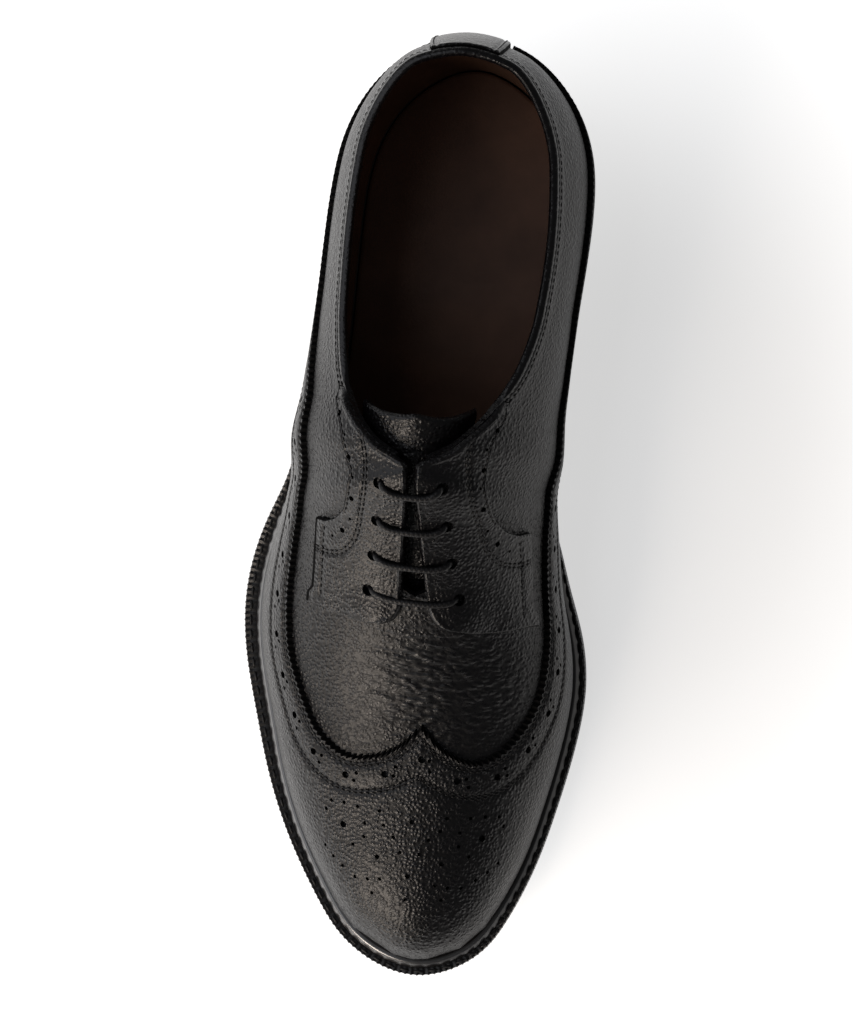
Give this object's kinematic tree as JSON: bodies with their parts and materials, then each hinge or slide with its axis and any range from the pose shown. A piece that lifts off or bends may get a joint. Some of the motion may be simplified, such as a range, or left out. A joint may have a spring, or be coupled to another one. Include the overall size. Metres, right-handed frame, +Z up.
{
  "type": "wingtip derby shoe",
  "caption": "Black leather longwing derby shoe for the right foot, with open lacing, storm welt, leather sole and stacked heel.",
  "frame": {"origin": "middle of the sole's outline, on the floor", "axes": "+X to the medial side, +Y to the heel, +Z up from the floor"},
  "size_m": [0.1126, 0.294, 0.0969],
  "materials": {
    "grained_leather": "black pebble grain, soft sheen",
    "sole_leather": "black edge dressing, waxed",
    "lining_leather": "dark brown, smooth",
    "heel_rubber": "matt black",
    "waxed_cord": "black waxed cotton"
  },
  "bodies": {
    "root": {"outsole": "sole_leather", "heel_base": "sole_leather", "heel_top_lift": "heel_rubber", "welt": "sole_leather", "insole": "lining_leather", "upper": "grained_leather", "wing": "grained_leather", "backstrap": "grained_leather", "facing_lateral": "grained_leather", "facing_medial": "grained_leather", "tongue": "grained_leather", "lace": "waxed_cord"}
  },
  "joints": []
}
